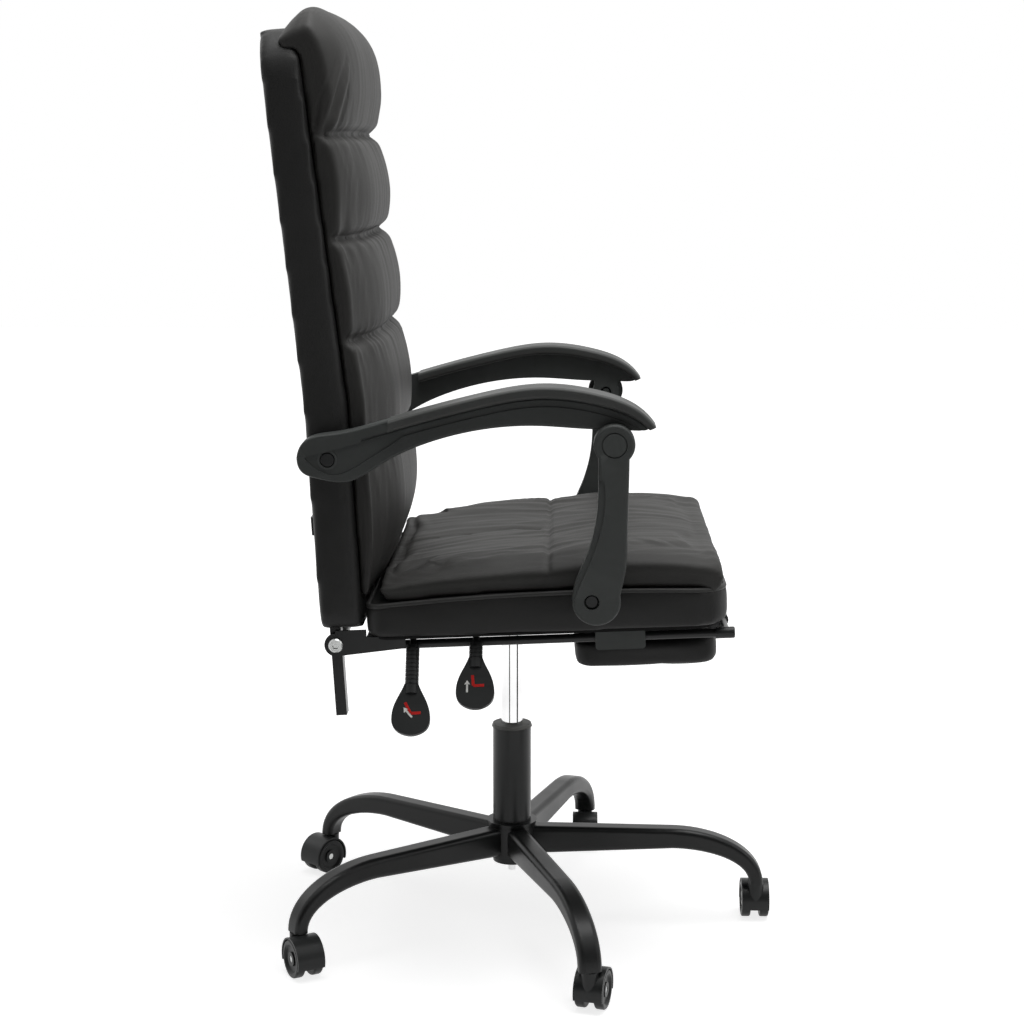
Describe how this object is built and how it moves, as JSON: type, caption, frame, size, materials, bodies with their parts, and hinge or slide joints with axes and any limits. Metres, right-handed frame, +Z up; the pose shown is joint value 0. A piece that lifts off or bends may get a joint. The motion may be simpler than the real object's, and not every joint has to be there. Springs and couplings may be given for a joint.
{
  "type": "furniture/office_chair/reclining",
  "caption": "Reclining office chair in black leather with pillowed back bolsters, linked flip-back arms, gas lift, caster base and slide-out flip-over footrest",
  "frame": {"origin": "on the floor under the centre of the whole chair", "axes": "+X towards the front of the chair, +Y to the sitter's left, +Z up"},
  "size_m": [0.6463, 0.643, 1.1814],
  "materials": {
    "black_leather": "satin",
    "black_nylon": "matte",
    "black_tread": "satin",
    "black_steel": "satin",
    "chrome": "polished",
    "zinc_steel": "satin",
    "grey_bush": "matte"
  },
  "bodies": {
    "root": {"base_hub": "black_nylon", "base_legs": "black_nylon", "column_tube": "black_steel", "guide_bush": "grey_bush", "thrust_bearing": "zinc_steel", "caster_stems": "zinc_steel"},
    "swivel": {"piston_rod": "zinc_steel", "rod_clip": "zinc_steel"},
    "seat": {"gas_cylinder": "chrome", "mechanism_pan": "black_steel", "pan_bolts": "zinc_steel", "seat_base": "black_leather", "seat_cushion": "black_leather", "hinge_plates": "black_steel", "hinge_bolts": "zinc_steel", "lock_plates": "zinc_steel", "footrest_guides": "black_nylon", "foot_bolts": "zinc_steel"},
    "valve": {"valve_pin": "zinc_steel"},
    "lift_lever": {"lift_lever_rod": "black_steel", "lift_lever_grip": "black_nylon"},
    "back_lever": {"back_lever_rod": "black_steel", "back_lever_grip": "black_nylon"},
    "back": {"back_frame": "black_steel", "back_strap": "black_steel", "back_shell": "black_leather", "back_cushion": "black_leather", "arm_bolts": "zinc_steel"},
    "arm_left_link": {"arm_left": "black_nylon", "arm_pad_left": "black_leather"},
    "upright_left_link": {"upright_left": "black_nylon"},
    "arm_right_link": {"arm_right": "black_nylon", "arm_pad_right": "black_leather"},
    "upright_right_link": {"upright_right": "black_nylon"},
    "footrest": {"footrest_frame": "black_steel", "rail_caps": "black_nylon"},
    "footrest_board": {"pad_straps": "black_steel", "footrest_pad": "black_leather"},
    "front_caster": {"caster_front_hood": "black_nylon", "caster_front_axle": "zinc_steel"},
    "front_wheel_a": {"caster_front_wheel_a": "black_tread"},
    "front_wheel_b": {"caster_front_wheel_b": "black_tread"},
    "front_left_caster": {"caster_front_left_hood": "black_nylon", "caster_front_left_axle": "zinc_steel"},
    "front_left_wheel_a": {"caster_front_left_wheel_a": "black_tread"},
    "front_left_wheel_b": {"caster_front_left_wheel_b": "black_tread"},
    "rear_left_caster": {"caster_rear_left_hood": "black_nylon", "caster_rear_left_axle": "zinc_steel"},
    "rear_left_wheel_a": {"caster_rear_left_wheel_a": "black_tread"},
    "rear_left_wheel_b": {"caster_rear_left_wheel_b": "black_tread"},
    "rear_right_caster": {"caster_rear_right_hood": "black_nylon", "caster_rear_right_axle": "zinc_steel"},
    "rear_right_wheel_a": {"caster_rear_right_wheel_a": "black_tread"},
    "rear_right_wheel_b": {"caster_rear_right_wheel_b": "black_tread"},
    "front_right_caster": {"caster_front_right_hood": "black_nylon", "caster_front_right_axle": "zinc_steel"},
    "front_right_wheel_a": {"caster_front_right_wheel_a": "black_tread"},
    "front_right_wheel_b": {"caster_front_right_wheel_b": "black_tread"}
  },
  "joints": [
    {"name": "chair_swivel", "type": "hinge", "parent": "root", "child": "swivel", "pos_m": [-0.02, 0, 0.3], "axis": [0, 0, 1], "continuous": true},
    {"name": "seat_height", "type": "slide", "parent": "swivel", "child": "seat", "axis": [0, 0, 1], "range_m": [-0.08, 0]},
    {"name": "lift_lever_lift", "type": "hinge", "parent": "seat", "child": "lift_lever", "pos_m": [-0.05766, 0, 0.43635], "axis": [0, 1, 0], "range_deg": [0, 8], "stiffness_Nm_per_rad": 2, "springref_deg": -28.65},
    {"name": "valve_press", "type": "slide", "parent": "seat", "child": "valve", "axis": [0, 0, 1], "range_m": [-0.006, 0]},
    {"name": "back_lever_lift", "type": "hinge", "parent": "seat", "child": "back_lever", "pos_m": [-0.13359, 0, 0.43303], "axis": [0, -1, 0], "range_deg": [0, 8], "stiffness_Nm_per_rad": 2, "springref_deg": -28.65},
    {"name": "back_recline", "type": "hinge", "parent": "seat", "child": "back", "pos_m": [-0.22495, 0, 0.42804], "axis": [0, -1, 0], "range_deg": [0, 32]},
    {"name": "arm_left_pivot", "type": "hinge", "parent": "back", "child": "arm_left_link", "pos_m": [-0.22806, 0.255, 0.65726], "axis": [0, -1, 0], "range_deg": [-31, 0]},
    {"name": "upright_left_pivot", "type": "hinge", "parent": "seat", "child": "upright_left_link", "pos_m": [0.07996, 0.276, 0.49391], "axis": [0, -1, 0], "range_deg": [0, 41]},
    {"name": "arm_right_pivot", "type": "hinge", "parent": "back", "child": "arm_right_link", "pos_m": [-0.22806, -0.255, 0.65726], "axis": [0, -1, 0], "range_deg": [-31, 0]},
    {"name": "upright_right_pivot", "type": "hinge", "parent": "seat", "child": "upright_right_link", "pos_m": [0.07996, -0.276, 0.49391], "axis": [0, -1, 0], "range_deg": [0, 41]},
    {"name": "footrest_slide", "type": "slide", "parent": "seat", "child": "footrest", "axis": [0.999, 0, 0.0436], "range_m": [0, 0.24]},
    {"name": "footrest_flip", "type": "hinge", "parent": "footrest", "child": "footrest_board", "pos_m": [0.24249, 0, 0.43944], "axis": [0, -1, 0], "range_deg": [0, 180]},
    {"name": "front_caster_swivel", "type": "hinge", "parent": "root", "child": "front_caster", "pos_m": [0.304, 0, 0.06], "axis": [0, 0, 1], "continuous": true},
    {"name": "front_wheel_a_spin", "type": "hinge", "parent": "front_caster", "child": "front_wheel_a", "pos_m": [0.304, 0.016, 0.024], "axis": [-1, 0, 0], "continuous": true},
    {"name": "front_wheel_b_spin", "type": "hinge", "parent": "front_caster", "child": "front_wheel_b", "pos_m": [0.304, 0.016, 0.024], "axis": [-1, 0, 0], "continuous": true},
    {"name": "front_left_caster_swivel", "type": "hinge", "parent": "root", "child": "front_left_caster", "pos_m": [0.08012, 0.30814, 0.06], "axis": [0, 0, 1], "continuous": true},
    {"name": "front_left_wheel_a_spin", "type": "hinge", "parent": "front_left_caster", "child": "front_left_wheel_a", "pos_m": [0.08012, 0.29214, 0.024], "axis": [1, 0, 0], "continuous": true},
    {"name": "front_left_wheel_b_spin", "type": "hinge", "parent": "front_left_caster", "child": "front_left_wheel_b", "pos_m": [0.08012, 0.29214, 0.024], "axis": [1, 0, 0], "continuous": true},
    {"name": "rear_left_caster_swivel", "type": "hinge", "parent": "root", "child": "rear_left_caster", "pos_m": [-0.28212, 0.19044, 0.06], "axis": [0, 0, 1], "continuous": true},
    {"name": "rear_left_wheel_a_spin", "type": "hinge", "parent": "rear_left_caster", "child": "rear_left_wheel_a", "pos_m": [-0.29283, 0.17855, 0.024], "axis": [0.7431, -0.6691, 0], "continuous": true},
    {"name": "rear_left_wheel_b_spin", "type": "hinge", "parent": "rear_left_caster", "child": "rear_left_wheel_b", "pos_m": [-0.29283, 0.17855, 0.024], "axis": [0.7431, -0.6691, 0], "continuous": true},
    {"name": "rear_right_caster_swivel", "type": "hinge", "parent": "root", "child": "rear_right_caster", "pos_m": [-0.28212, -0.19044, 0.06], "axis": [0, 0, 1], "continuous": true},
    {"name": "rear_right_wheel_a_spin", "type": "hinge", "parent": "rear_right_caster", "child": "rear_right_wheel_a", "pos_m": [-0.27412, -0.2043, 0.024], "axis": [0.866, 0.5, 0], "continuous": true},
    {"name": "rear_right_wheel_b_spin", "type": "hinge", "parent": "rear_right_caster", "child": "rear_right_wheel_b", "pos_m": [-0.27412, -0.2043, 0.024], "axis": [0.866, 0.5, 0], "continuous": true},
    {"name": "front_right_caster_swivel", "type": "hinge", "parent": "root", "child": "front_right_caster", "pos_m": [0.08012, -0.30814, 0.06], "axis": [0, 0, 1], "continuous": true},
    {"name": "front_right_wheel_a_spin", "type": "hinge", "parent": "front_right_caster", "child": "front_right_wheel_a", "pos_m": [0.08453, -0.29276, 0.024], "axis": [-0.9613, 0.2756, 0], "continuous": true},
    {"name": "front_right_wheel_b_spin", "type": "hinge", "parent": "front_right_caster", "child": "front_right_wheel_b", "pos_m": [0.08453, -0.29276, 0.024], "axis": [-0.9613, 0.2756, 0], "continuous": true}
  ],
  "couplings": [
    {"joint": "valve_press", "follows": "lift_lever_lift", "m_per_rad": -0.038},
    {"joint": "arm_left_pivot", "follows": "back_recline", "ratio": -0.93224},
    {"joint": "upright_left_pivot", "follows": "back_recline", "ratio": 1.2247},
    {"joint": "arm_right_pivot", "follows": "back_recline", "ratio": -0.93224},
    {"joint": "upright_right_pivot", "follows": "back_recline", "ratio": 1.2247}
  ]
}
